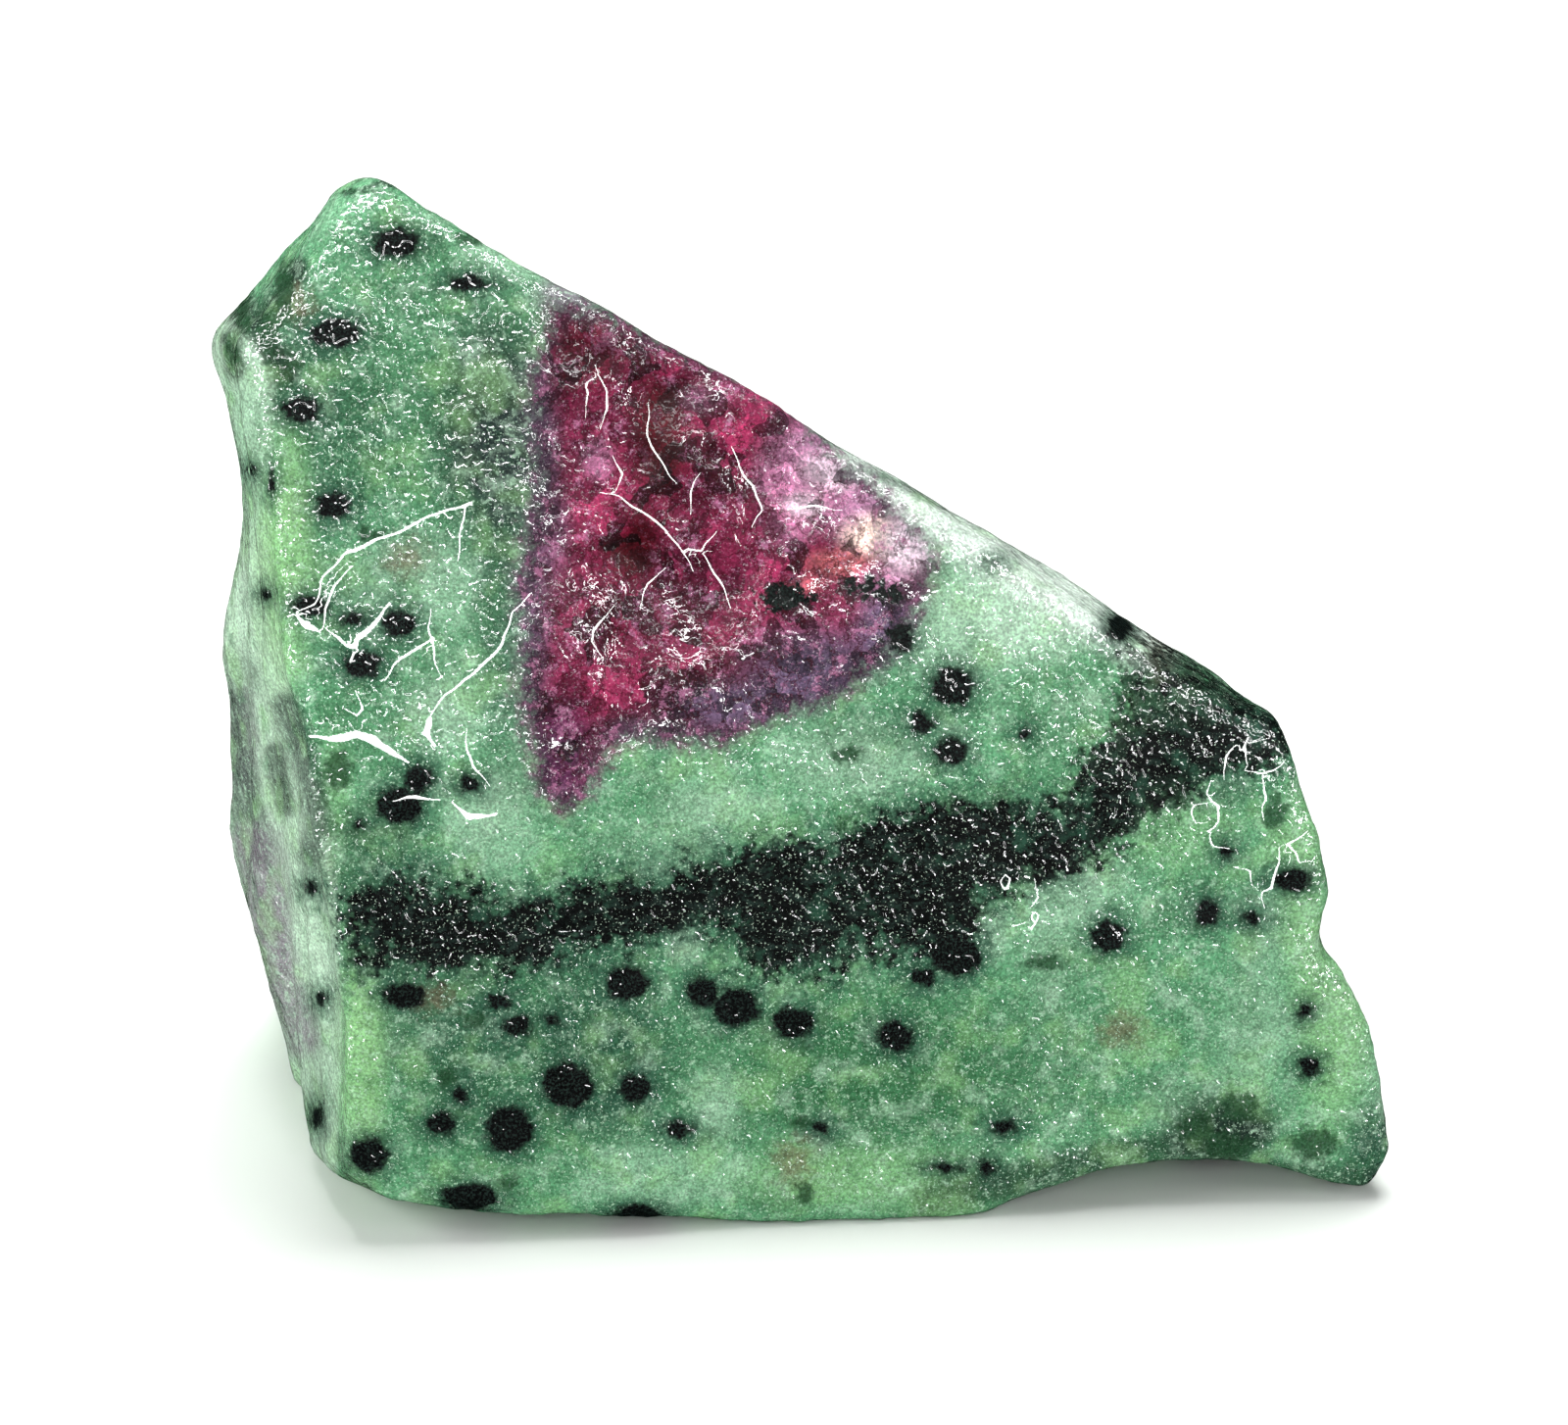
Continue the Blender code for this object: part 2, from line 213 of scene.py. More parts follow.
# Clouds of tint in the ruby, as above.
RUBY_CLOUDS = (
    ("deep", -10.0, 18.6, 2.5, 2.5, 0.8), ("deep", -6.2, 14.2, 1.9, 3.8, 1.0),
    ("deep", -7.8, 8.6, 1.8, 2.2, 1.0), ("deep", -9.0, 5.0, 1.2, 2.0, 0.5),
    ("crimson", -9.3, 10.6, 1.5, 1.6, 0.8), ("crimson", -5.5, 17.8, 1.5, 0.9, 0.6),
    ("crimson", -3.0, 14.35, 2.0, 1.5, 0.9), ("crimson", -6.0, 4.6, 1.5, 1.2, 0.7),
    ("crimson", -1.5, 9.9, 1.8, 1.3, 0.6), ("crimson", -3.6, 8.6, 1.6, 1.4, 0.6),
    ("crimson", 0.0, 6.85, 1.5, 1.0, 0.5), ("crimson", -8.5, 1.6, 2.0, 1.5, 0.45),
    ("crimson", -1.0, 16.3, 1.5, 1.0, 0.6),
    ("brown_red", -8.0, 20.1, 3.0, 0.8, 0.6), ("wine", -3.5, 4.2, 3.0, 2.0, 0.6),
    ("wine", -9.0, 13.4, 1.2, 2.0, 0.5), ("wine", -3.8, 11.6, 1.4, 1.8, 0.6),
    ("mauve", 1.6, 12.9, 2.6, 2.0, 0.85), ("pink", 0.2, 11.6, 1.5, 1.6, 0.6),
    ("pink", 0.4, 9.4, 1.3, 0.9, 0.5), ("pink", -9.5, 12.8, 0.8, 1.0, 0.6),
    ("pink", -4.0, 16.0, 1.2, 0.7, 0.4), ("mauve", 4.6, 10.3, 2.6, 1.8, 0.85),
    ("cream", 4.6, 9.0, 1.6, 1.1, 1.0), ("blush", 6.6, 8.6, 1.6, 1.8, 1.0),
    ("blush", 2.6, 12.4, 1.8, 1.0, 0.7), ("blush", 1.0, 10.6, 1.0, 0.7, 0.6),
    ("salmon", 2.8, 7.6, 1.8, 0.8, 0.8), ("salmon", 1.0, 6.5, 1.0, 0.5, 0.6),
    ("mauve", 5.5, 6.4, 1.8, 1.2, 0.6),
    ("violet", -12.6, 13.85, 1.2, 4.0, 0.85), ("violet", -13.1, 4.35, 1.3, 5.0, 0.85),
    ("violet", -12.0, 9.35, 1.2, 3.0, 0.7), ("slate", 1.5, 1.85, 3.8, 2.5, 0.9),
    ("slate", 5.3, 4.2, 1.8, 2.0, 0.9), ("slate", -3.0, 0.3, 3.4, 1.4, 0.85),
    ("plum", -11.5, -2.15, 1.8, 2.8, 0.9), ("lilac", -11.0, -4.4, 1.3, 0.8, 0.6),
    ("lilac", -7.6, -0.9, 2.2, 0.8, 0.7), ("lilac", -4.0, -1.15, 2.5, 0.6, 0.6),
    ("lilac", -13.5, 5.35, 0.5, 5.0, 0.4),
)

# Corners that stand further out: (across, up, half width, half height, push across, push up).
PUSHES = (
    (-21.4, 26.5, 3.6, 3.0, -0.2, 0.65), (-28.8, 18.9, 2.5, 3.2, -0.6, 0.0),
    (25.5, 0.3, 2.8, 3.2, 0.6, 0.6), (28.4, -12.5, 2.8, 4.0, -0.7, 0.0),
)

# Hollows where a piece of the ruby broke out: (across, up, half width, half height, depth).
HOLLOWS = (
    (-10.75, 18.1, 1.5, 1.75, 0.3), (-6.0, 14.35, 1.3, 3.3, 0.12), (-7.5, 8.35, 1.5, 1.5, 0.2),
)

# The ridges of the gloss: where their tops face, how wide they are at their ends, how much their
# lines wobble, and each one's (half width, points).
RIDGE_TOP = (0.0, -0.73, 0.68)
RIDGE_END = 0.35
RIDGE_WOBBLE = 0.14
GLOSS_RIDGES = (
    (0.0651, ((-24.95, 5.05), (-23.9, 5.55), (-23.4, 6.9), (-22.4, 8.05), (-20.85, 8.75),
        (-19.55, 9.3), (-17.65, 10.2), (-16.25, 10.6), (-16.5, 9.45), (-16.6, 8.15))),
    (0.0572, ((-23.55, 4.2), (-23.4, 5.25), (-22.9, 6.5), (-22.25, 7.2))),
    (0.145, ((-24.8, 4.85), (-24.3, 4.35), (-23.65, 4.1))),
    (0.145, ((-20.35, 5.25), (-21.0, 4.4), (-21.75, 3.7), (-22.0, 2.95))),
    (0.0739, ((-23.15, 4.15), (-22.4, 3.55), (-21.85, 3.2))),
    (0.0739, ((-17.9, 3.75), (-18.95, 3.15), (-19.85, 2.45), (-20.2, 1.9))),
    (0.0537, ((-18.1, 4.95), (-18.15, 4.35), (-17.9, 3.7), (-17.9, 2.7), (-17.65, 2.15))),
    (0.0651, ((-13.2, 5.75), (-13.85, 5.1), (-14.35, 3.55), (-15.0, 2.8), (-16.25, 1.65),
        (-17.55, 0.65), (-18.05, -0.15))),
    (0.145, ((-18.05, -0.15), (-18.3, -1.0), (-18.05, -1.4))),
    (0.2, ((-23.8, -1.25), (-22.75, -1.3), (-21.75, -1.1), (-20.6, -1.55), (-19.4, -2.35))),
    (0.0537, ((-16.2, -1.15), (-16.15, -1.9), (-15.85, -2.8), (-15.25, -3.5))),
    (0.0572, ((-21.75, 0.7), (-21.55, 0.15), (-21.75, -0.2), (-22.1, 0.0))),
    (0.0739, ((-19.55, -4.4), (-18.8, -4.3), (-18.0, -4.4))),
    (0.13, ((-16.65, -4.85), (-16.0, -5.4), (-15.0, -5.25))),
    (0.049, ((-9.0, 11.2), (-8.4, 11.1), (-7.8, 10.55), (-6.8, 9.95), (-6.05, 9.35), (-5.3, 8.4),
        (-4.9, 7.6))),
    (0.049, ((-5.3, 8.4), (-4.15, 8.25), (-3.7, 8.9))),
    (0.049, ((-4.15, 8.25), (-3.55, 7.3), (-2.9, 5.75))),
    (0.0427, ((-6.95, 15.35), (-6.95, 14.2), (-6.55, 13.3), (-5.75, 12.0))),
    (0.0427, ((-2.55, 13.25), (-2.25, 12.45), (-1.65, 11.55), (-1.15, 10.4), (-1.5, 9.8))),
    (0.0427, ((-9.5, 17.35), (-9.05, 16.4), (-9.0, 15.5), (-9.2, 14.85))),
    (0.0427, ((-10.15, 15.5), (-10.0, 16.4), (-10.15, 16.85), (-9.7, 17.05))),
    (0.0427, ((-8.55, 12.75), (-8.25, 12.15), (-8.55, 11.5))),
    (0.0427, ((-8.9, 5.1), (-9.8, 4.25), (-9.85, 3.65), (-9.45, 3.1))),
    (0.0427, ((-6.35, 7.1), (-6.95, 6.55), (-7.25, 5.7))),
    (0.0427, ((0.55, 10.4), (1.55, 10.55), (2.6, 10.4))),
    (0.0427, ((-4.45, 11.9), (-4.75, 11.25), (-4.75, 10.55))),
    (0.0462, ((22.45, -3.0), (22.5, -2.3), (22.7, -2.05), (23.0, -1.75))),
    (0.0462, ((23.0, -1.95), (23.35, -1.95), (23.5, -1.55), (23.6, -1.95), (23.65, -2.65))),
    (0.0462, ((23.75, -3.0), (24.2, -3.1), (24.35, -3.2), (24.95, -3.0), (25.25, -2.65))),
    (0.0462, ((24.35, -3.2), (24.5, -3.95), (24.7, -4.35), (24.45, -4.75), (24.45, -5.05))),
    (0.0528, ((21.65, -3.85), (21.55, -4.15), (21.8, -4.5), (22.15, -4.7), (22.1, -5.6),
        (21.8, -6.0), (21.6, -6.05))),
    (0.0462, ((21.65, -6.15), (21.9, -6.75), (22.3, -6.85))),
    (0.0396, ((21.25, -4.7), (20.95, -4.75), (20.85, -5.2), (21.1, -5.55), (21.3, -5.6))),
    (0.0528, ((26.3, -6.3), (25.65, -6.75), (26.0, -7.1), (26.25, -7.6), (26.45, -7.6))),
    (0.0528, ((25.25, -7.0), (25.3, -7.6), (25.05, -8.05), (24.85, -8.95), (24.4, -9.1),
        (24.45, -9.6))),
    (0.0462, ((23.35, -8.0), (23.75, -8.05), (23.85, -8.65))),
    (0.0396, ((11.35, -8.3), (11.6, -8.55), (11.45, -8.95), (11.2, -9.0), (11.1, -8.65),
        (11.35, -8.3))),
    (0.0396, ((12.85, -8.9), (12.95, -9.4), (12.75, -9.7))),
    (0.0396, ((12.75, -10.1), (13.0, -10.4), (12.8, -10.75), (12.6, -10.45), (12.75, -10.1))),
)


def srgb(red, green, blue):
    """A screen colour, 0 to 255, as Blender's linear one."""
    shares = (value / 255 for value in (red, green, blue))
    return tuple(s / 12.92 if s <= 0.04045 else ((s + 0.055) / 1.055) ** 2.4 for s in shares)


def colour_property(name, description, *rgb):
    return bpy.props.FloatVectorProperty(
        name=name, description=description, subtype="COLOR", size=3, min=0, max=1, default=srgb(*rgb)
    )


def length_property(name, description, millimetres):
    return bpy.props.FloatProperty(
        name=name, description=description, default=millimetres * MM, min=0, unit="LENGTH",
        precision=5,
    )


class StoneSkin(bpy.types.PropertyGroup):
    """Sizes of the stone's fine surface."""

    grid: length_property("Skin grid", "Distance between the skin's points", 0.225)
    draft_grid: length_property("Draft grid", "The same, for a quick look", 0.4)
    swell_size: length_property("Swell size", "Width of the broad waves in the rock", 3.2)
    swell_height: length_property("Swell height", "Height of the broad waves", 0.30)
    grit_size: length_property("Grit size", "Width of the bumps between sugary grains", 0.9)
    grit_height: length_property("Grit height", "Height of those bumps", 0.16)
    hackle_size: length_property("Hackle size", "Width of the ruby's broken steps", 1.7)
    hackle_height: length_property("Hackle height", "Height of those steps", 0.4)
    smoothing: bpy.props.IntProperty(
        name="Smoothing", description="Passes that melt the solid's facets together", default=36, min=0
    )
    triangles: bpy.props.IntProperty(
        name="Triangles", description="Most triangles in the skin", default=190000, min=1000
    )


class RockColours(bpy.types.PropertyGroup):
    """Colours of the zoisite and what is in it, and of the sheen, light and shade painted on it."""

    mid: colour_property("Zoisite", "The rock's usual green", 100, 164, 120)
    # Also a painted highlight: mixed faintly into the colour along the gloss ridges.
    pale: colour_property("Pale zoisite", "Milky patches and thin edges", 190, 228, 198)
    # Painted sheen: the pale veil of the overhead light along the ridge right of the ruby.
    milk_and_sheen: colour_property("Milk", "The palest zoisite, along the ridge", 230, 246, 234)
    lime: colour_property("Lime edge", "Yellow-green corners", 150, 204, 138)
    green: colour_property("Clear green", "Cleaner, deeper green", 62, 118, 78)
    teal: colour_property("Teal", "Blue-green shade round the dark minerals", 44, 84, 66)
    # Partly painted shade: along the lower right edge this colour darkens the raised underside.
    dark: colour_property("Dark streak", "Hornblende seen through the rock", 26, 40, 36)
    smoke: colour_property("Smoke", "Grey-green halo beside the ruby", 44, 58, 56)
    # Partly painted light: the left face's own greyed green, made paler where the left lamp falls.
    mist: colour_property("Mist", "Greyed green of the left face", 204, 228, 206)
    lilac_grey: colour_property("Lilac grey", "Greyed rim", 134, 124, 136)
    hornblende: colour_property("Hornblende", "Black grains", 8, 11, 11)
    moss: colour_property("Moss grains", "Dark green grains", 36, 74, 46)
    rust: colour_property("Rust", "Brown stains", 112, 98, 78)
    seam: colour_property("Seam", "Dark amphibole seam", 6, 11, 10)
    seam_light: colour_property("Seam, lighter", "Teal fibres in the seam", 30, 48, 42)


class RubyColours(bpy.types.PropertyGroup):
    """Colours of the ruby and its rim."""

    garnet: colour_property("Ruby", "The crystal's usual colour", 112, 32, 62)
    deep: colour_property("Deep", "Clear hollows", 62, 2, 14)
    crimson: colour_property("Crimson", "Lit facets", 142, 38, 76)
    wine: colour_property("Wine", "Dark facets", 92, 20, 46)
    brown_red: colour_property("Brown red", "Along the ridge", 98, 36, 50)
    pink: colour_property("Pink", "Crushed ruby", 204, 128, 170)
    blush: colour_property("Blush", "Palest crushed ruby", 230, 208, 222)
    cream: colour_property("Cream", "Crushed ruby stained by the rock", 232, 204, 194)
    salmon: colour_property("Salmon", "Stained facets", 158, 80, 84)
    violet: colour_property("Violet", "Left rim", 76, 58, 78)
    slate: colour_property("Slate", "Lower rim", 84, 74, 98)
    plum: colour_property("Plum", "The tail", 66, 32, 60)
    lilac: colour_property("Lilac", "Fringe towards the rock", 74, 56, 74)
    mauve: colour_property("Mauve", "Greyed pink", 164, 116, 148)


class Studio(bpy.types.PropertyGroup):
    """The floor, the lights and the camera."""

    floor: colour_property("Floor", "The plain floor", 240, 244, 240)
    sky_strength: bpy.props.FloatProperty(
        name="Sky", description="Strength of the white surroundings", default=0.15, min=0
    )
    lens: bpy.props.FloatProperty(
        name="Lens", description="The camera's focal length", default=126, min=1, unit="CAMERA"
    )


def group_colours(group):
    return {name: np.array(getattr(group, name)) for name in type(group).__annotations__}


# Skin: from the frame's solid to a fine mesh.

def select_none():
    bpy.ops.object.select_all(action="DESELECT")


def select_only(obj):
    select_none()
    obj.select_set(True)
    bpy.context.view_layer.objects.active = obj


def finish_modifier(obj, name, kind, **settings):
    """Adds a modifier and applies it."""
    modifier = obj.modifiers.new(name, kind)
    for setting, value in settings.items():
        setattr(modifier, setting, value)
    select_only(obj)
    bpy.ops.object.modifier_apply(modifier=modifier.name)


def copy_of_solid():
    """The solid's mesh in an object of its own, its loose triangles merged."""
    stone = bpy.data.objects.new(STONE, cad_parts[NODE].data.copy())
    stone.data.name = STONE
    stone.data.materials.clear()
    bpy.context.scene.collection.objects.link(stone)
    select_only(stone)
    bpy.ops.object.mode_set(mode="EDIT")
    bpy.ops.mesh.select_all(action="SELECT")
    bpy.ops.mesh.remove_doubles(threshold=0.001 * MM)
    bpy.ops.object.mode_set(mode="OBJECT")
    return stone


def read_vectors(items, field):
    flat = np.empty(len(items) * 3)
    items.foreach_get(field, flat)
    return flat.reshape(-1, 3)


def read_points(mesh):
    return read_vectors(mesh.vertices, "co")


def write_points(mesh, points):
    mesh.vertices.foreach_set("co", points.ravel())
    mesh.update()


# Reading places on the viewing sheet.

def sheet_places(points):
    """(across, up) of each point on the viewing sheet, in millimetres."""
    away = points - np.array(EYE)
    depth = away @ np.array(SIGHT)
    across = (away @ np.array(SHEET_ACROSS)) / depth
    up = (away @ np.array(SHEET_UP)) / depth
    return np.column_stack((across, up)) * CAMERA_DISTANCE / MM


def depths_behind_front(stone, points):
    """How far each point lies behind the first surface on its sight line, in millimetres."""
    tree = BVHTree.FromObject(stone, bpy.context.evaluated_depsgraph_get())
    depths = np.zeros(len(points))
    for i, point in enumerate(points):
        line = Vector(point) - EYE
        reach = line.length
        hit = tree.ray_cast(EYE, line / reach)
        if hit[3] is not None:
            depths[i] = max(0.0, reach - hit[3]) / MM
    return depths


def ramp(values, low, high):
    share = np.clip((values - low) / (high - low), 0, 1)
    return share * share * (3 - 2 * share)


def distance_to_line(places, line):
    nearest = np.full(len(places), np.inf)
    x, y = places.T
    for (x0, y0), (x1, y1) in zip(line, line[1:]):
        run, rise = x1 - x0, y1 - y0
        along = np.clip(((x - x0) * run + (y - y0) * rise) / (run * run + rise * rise), 0, 1)
        nearest = np.minimum(nearest, np.hypot(x - x0 - along * run, y - y0 - along * rise))
    return nearest


def depth_in_outline(places, outline):
    """How far each place lies inside the outline; negative outside it."""
    closed = outline + outline[:1]
    inside = np.zeros(len(places), bool)
    x, y = places.T
    for (x0, y0), (x1, y1) in zip(closed, closed[1:]):
        run, rise = x1 - x0, y1 - y0
        if rise:
            inside ^= ((y0 > y) != (y1 > y)) & (x < x0 + (y - y0) / rise * run)
    nearest = distance_to_line(places, closed)
    return np.where(inside, nearest, -nearest)


def ridge_places(places, ridges):
    """How far to the side of the nearest ridge, in half widths, and how far from its line."""
    nearest = np.full(len(places), FAR)
    sides = np.full(len(places), FAR)
    x, y = places.T
    for half_width, line in ridges:
        spans = [math.dist(*ends) for ends in zip(line, line[1:])]
        done = 0.0
        for (x0, y0), (x1, y1), span in zip(line, line[1:], spans):
            run, rise = (x1 - x0) / span, (y1 - y0) / span
            along = np.clip((x - x0) * run + (y - y0) * rise, 0, span)
            off = np.hypot(x - x0 - along * run, y - y0 - along * rise)
            across = (x - x0) * rise - (y - y0) * run
            middle = np.sin(math.pi * (done + along) / sum(spans))
            taper = RIDGE_END + (1 - RIDGE_END) * middle
            closer = off < nearest
            nearest[closer] = off[closer]
            sides[closer] = (across / (half_width * taper))[closer]
            done += span
    return sides, nearest


def spot_reach(places, depths, across, up, half_width, half_height, run_in=2.0):
    """1 at a spot's heart, 0 on its rim and negative outside it."""
    size = math.sqrt(half_width * half_height)
    flat = ((places[:, 0] - across) / half_width) ** 2 + ((places[:, 1] - up) / half_height) ** 2
    return 1 - np.sqrt(flat + (depths / (run_in * size)) ** 2)


def depth_in_grains(places, depths, grains):
    deepest = np.full(len(places), -FAR)
    for grain in grains:
        size = math.sqrt(grain[2] * grain[3])
        deepest = np.maximum(deepest, size * spot_reach(places, depths, *grain))
    return deepest


def noise_at(points, size, seat=0.0):
    """Smooth noise between about -1 and 1, with waves of this size in millimetres."""
    scale = 1 / (size * MM)
    shift = Vector((seat, seat, seat))
    return np.array([noise.noise(Vector(point) * scale + shift) for point in points])


# Relief: swell, grit, hackly steps and hollows.

def weigh(obj, name, weights):
    """A vertex group that holds these weights."""
    group = obj.vertex_groups.new(name=name)
    for i in np.nonzero(weights > 0.01)[0]:
        group.add([int(i)], float(weights[i]), "REPLACE")
    return group.name


def noise_texture(name, size, depth=2):
    texture = bpy.data.textures.new(name, "CLOUDS")
    texture.noise_scale = size
    texture.noise_depth = depth
    texture.noise_basis = "ORIGINAL_PERLIN"
    return texture


def raise_relief(stone, texture, height, group):
    finish_modifier(
        stone, texture.name, "DISPLACE", texture=texture, texture_coords="LOCAL",
        strength=height, mid_level=0.5, vertex_group=group,
    )


def broken_step(place, size):
    """Hackly fracture: each cell is a flat facet with a lean of its own."""
    distances, seats = noise.voronoi(place / size)
    risen = total = 0.0
    for distance, seat in zip(distances, seats):
        share = math.exp((distances[0] - distance) * 14)
        lean = Vector((noise.noise(seat * 7.3), noise.noise(seat * 5.1), noise.noise(seat * 3.7)))
        risen += share * (place / size - seat).dot(lean)
        total += share
    return risen / total


def hackle(points, share, size):
    heights = np.zeros(len(points))
    for i in np.nonzero(share > 0.01)[0]:
        heights[i] = broken_step(Vector(points[i]), size)
    return heights * share


def carve(stone, places, depths, ruby, skin):
    """The ruby's broken steps and hollows."""
    mesh = stone.data
    points = read_points(mesh)
    normals = read_vectors(mesh.vertex_normals, "vector")
    share = ramp(ruby, -0.3, 0.7)
    heights = hackle(points, share, skin.hackle_size) * skin.hackle_height
    heights += hackle(points, share, skin.hackle_size * 0.45) * skin.hackle_height * 0.3
    for across, up, half_width, half_height, depth in HOLLOWS:
        hollow = ramp(spot_reach(places, depths, across, up, half_width, half_height), 0, 0.6)
        heights *= 1 - 0.8 * hollow
        heights -= hollow * depth * MM
    write_points(mesh, points + normals * heights[:, None])


def push_corners(stone):
    points = read_points(stone.data)
    places = sheet_places(points)
    for across, up, half_width, half_height, right, rise in PUSHES:
        share = ramp(spot_reach(places, 0, across, up, half_width, half_height), 0, 1)
        way = np.array(SHEET_ACROSS * right + SHEET_UP * rise) * MM
        points += share[:, None] * way
    write_points(stone.data, points)


def set_down(stone):
    """Nothing reaches below the floor."""
    points = read_points(stone.data)
    points[:, 2] = np.maximum(points[:, 2], 0)
    write_points(stone.data, points)


def grow_skin(stone, skin):
    grid = skin.grid
    finish_modifier(stone, "skin grid", "REMESH", mode="VOXEL", voxel_size=grid)
    passes = round(skin.smoothing * (skin.grid / grid) ** 2)
    finish_modifier(stone, "melted facets", "SMOOTH", factor=0.5, iterations=passes)
    push_corners(stone)
    points = read_points(stone.data)
    places = sheet_places(points)
    depths = depths_behind_front(stone, points)
    ruby = np.minimum(depth_in_outline(places, RUBY), RUBY_DEPTH - depths)
    ruby_share = ramp(ruby, -0.3, 0.7)
    rock = weigh(stone, "rock", 1 - 0.6 * ruby_share)
    hidden = weigh(stone, "hidden", ramp(depths, 0.5, 2.5))
    raise_relief(stone, noise_texture("swell", skin.swell_size), skin.swell_height, rock)
    raise_relief(stone, noise_texture("grit", skin.grit_size), skin.grit_height, rock)
    carve(stone, places, depths, ruby, skin)
    ratio = min(1.0, skin.triangles / (2 * len(stone.data.polygons)))
    finish_modifier(
        stone, "thin the far side", "DECIMATE", ratio=ratio, vertex_group=hidden,
        use_collapse_triangulate=True,
    )
    stone.vertex_groups.clear()
    set_down(stone)


# Markings: what each point of the skin lies in.

def store(mesh, name, values):
    attribute = mesh.attributes.new(name, "FLOAT", "POINT")
    attribute.data.foreach_set("value", values.astype(np.float32))


def store_colour(mesh, name, colours):
    attribute = mesh.attributes.new(name, "FLOAT_COLOR", "POINT")
    full = np.column_stack((colours, np.ones(len(colours))))
    attribute.data.foreach_set("color", full.astype(np.float32).ravel())


def tint(base, colours, share):
    return base + (np.asarray(colours) - base) * share[:, None]


def cloud_share(places, depths, across, up, half_width, half_height, strength):
    reach = spot_reach(places, depths * 0.4, across, up, half_width, half_height)
    return strength * ramp(reach, -0.45, 0.6)


def rock_tint(points, places, depths, colours):
    """The zoisite's colour before its grains, with painted sheen, painted light and painted shade."""
    base = np.tile(colours["mid"], (len(points), 1))
    broad, narrow = noise_at(points, 9, 3.1), noise_at(points, 3.4, 7.7)
    hidden = ramp(depths, 1, 5)
    base = tint(base, colours["pale"], ramp(broad + 0.6 * narrow, 0.1, 0.9) * (0.4 + 0.2 * hidden))
    base = tint(base, colours["teal"], ramp(-broad + 0.6 * narrow, 0.1, 0.9) * (0.45 + 0.15 * hidden))
    base = tint(base, colours["green"], ramp(narrow, 0.1, 0.6) * 0.35)
    left = depth_in_outline(places, LEFT_FACE)
    # The left face: its own greyed green, with painted light where the left lamp falls on it.
    base = tint(base, colours["mist"], ramp(left, -0.1, 0.3) * 0.75)
    for name, *cloud in ROCK_CLOUDS:
        base = tint(base, colours[name], cloud_share(places, depths, *cloud))
    shown = 1 - ramp(depths, 2, 5)
    for name, half_width, strength, line in ROCK_STREAKS:
        reach = 1 - distance_to_line(places, line) / half_width
        base = tint(base, colours[name], strength * ramp(reach, -0.6, 0.6) * shown)
    return base


def ruby_tint(points, places, depths, colours):
    base = np.tile(colours["garnet"], (len(points), 1))
    for name, *cloud in RUBY_CLOUDS:
        base = tint(base, colours[name], cloud_share(places, depths, *cloud))
    return base


def hidden_grains(points, depths):
    """Seats and sizes of the grains on the sides that the camera doesn't see."""
    pick = random.Random(7)
    candidates = np.nonzero(depths > HIDDEN_DEPTH)[0]
    grains = []
    for _ in range(HIDDEN_HORNBLENDE + HIDDEN_MOSS):
        seat = points[pick.choice(candidates)] / MM
        grains.append((seat, pick.uniform(0.55, 1.15) ** 2))
    return grains


def depth_in_hidden_grains(points, grains):
    deepest = np.full(len(points), -FAR)
    for seat, size in grains:
        deepest = np.maximum(deepest, size - np.linalg.norm(points / MM - seat, axis=1))
    return deepest


def mark(stone, rock, ruby):
    """Writes the markings to the skin."""
    mesh = stone.data
    points = read_points(mesh)
    places = sheet_places(points)
    depths = depths_behind_front(stone, points)
    far_grains = hidden_grains(points, depths)
    for name, grains, hidden in (
            ("hornblende", HORNBLENDE, far_grains[:HIDDEN_HORNBLENDE]),
            ("moss", MOSS, far_grains[HIDDEN_HORNBLENDE:])):
        shown = depth_in_grains(places, depths, grains)
        store(mesh, name, np.maximum(shown, depth_in_hidden_grains(points, hidden)))
    store(mesh, "rust", depth_in_grains(places, depths, RUST))
    wander = SEAM_WANDER * ramp(depths, 2, 12) * noise_at(points, 9, 1.3)
    moved = places + np.column_stack((np.zeros(len(points)), wander))
    store(mesh, "seam", np.maximum(depth_in_outline(moved, SEAM), -FAR))
    store(mesh, "seam_fan", np.maximum(depth_in_outline(moved, SEAM_FAN), -FAR))
    inside = np.minimum(depth_in_outline(places, RUBY), RUBY_DEPTH - depths)
    store(mesh, "ruby", np.maximum(inside, -FAR))
    wobble = np.column_stack((noise_at(points, 0.9, 4.6), noise_at(points, 0.9, 9.4)))
    wobble *= RIDGE_WOBBLE
    sides, off = ridge_places(places + wobble, GLOSS_RIDGES)
    store(mesh, "gloss_side", sides)
    store(mesh, "gloss_off", off + depths)
    store_colour(mesh, "rock_tint", rock_tint(points, places, depths, rock))
    store_colour(mesh, "ruby_tint", ruby_tint(points, places, depths, ruby))


# Material.

# Patterns in the material: (size in millimetres, detail, roughness).
SHAKE = (0.55, 4, 0.65)
FINE = (0.14, 3, 0.6)
SPARKLE = (0.13, 2, 0.7)
MOTTLE = (1.5, 5, 0.62)
MILK = (0.45, 3, 0.6)
SUN = (2.3, 2, 0.5)
FIBRE = (0.75, 5, 0.68)
SEAM_PATCHES = (1.7, 3, 0.6)
FAN_PATCHES = (0.9, 4, 0.65)
LOBES = (2.2, 4, 0.6)
BEND = (0.7, 2, 0.5)
CRUSHED = (1.1, 6, 0.8)
FROST = (0.22, 3, 0.7)
CRACKS = (1.3, 4, 0.6)
BEADS = (0.24, 1, 0.4)
WAVES = (0.75, 2, 0.5)
THREADS = (0.7, 1, 0.5)
DRY_PATCHES = (1.3, 2, 0.5)

# Sizes of cells and heights of bumps, in millimetres.
SUGAR = 0.3
FACET = 1.3
CHIP = 0.5
GRAIN_HEIGHT = 0.05
BEAD_HEIGHT = 0.03
WAVE_HEIGHT = 0.22
THREAD_HEIGHT = 0.05

# The seam's fibres are squeezed along Z.
FIBRE_SQUEEZE = (1, 1, 1.5)

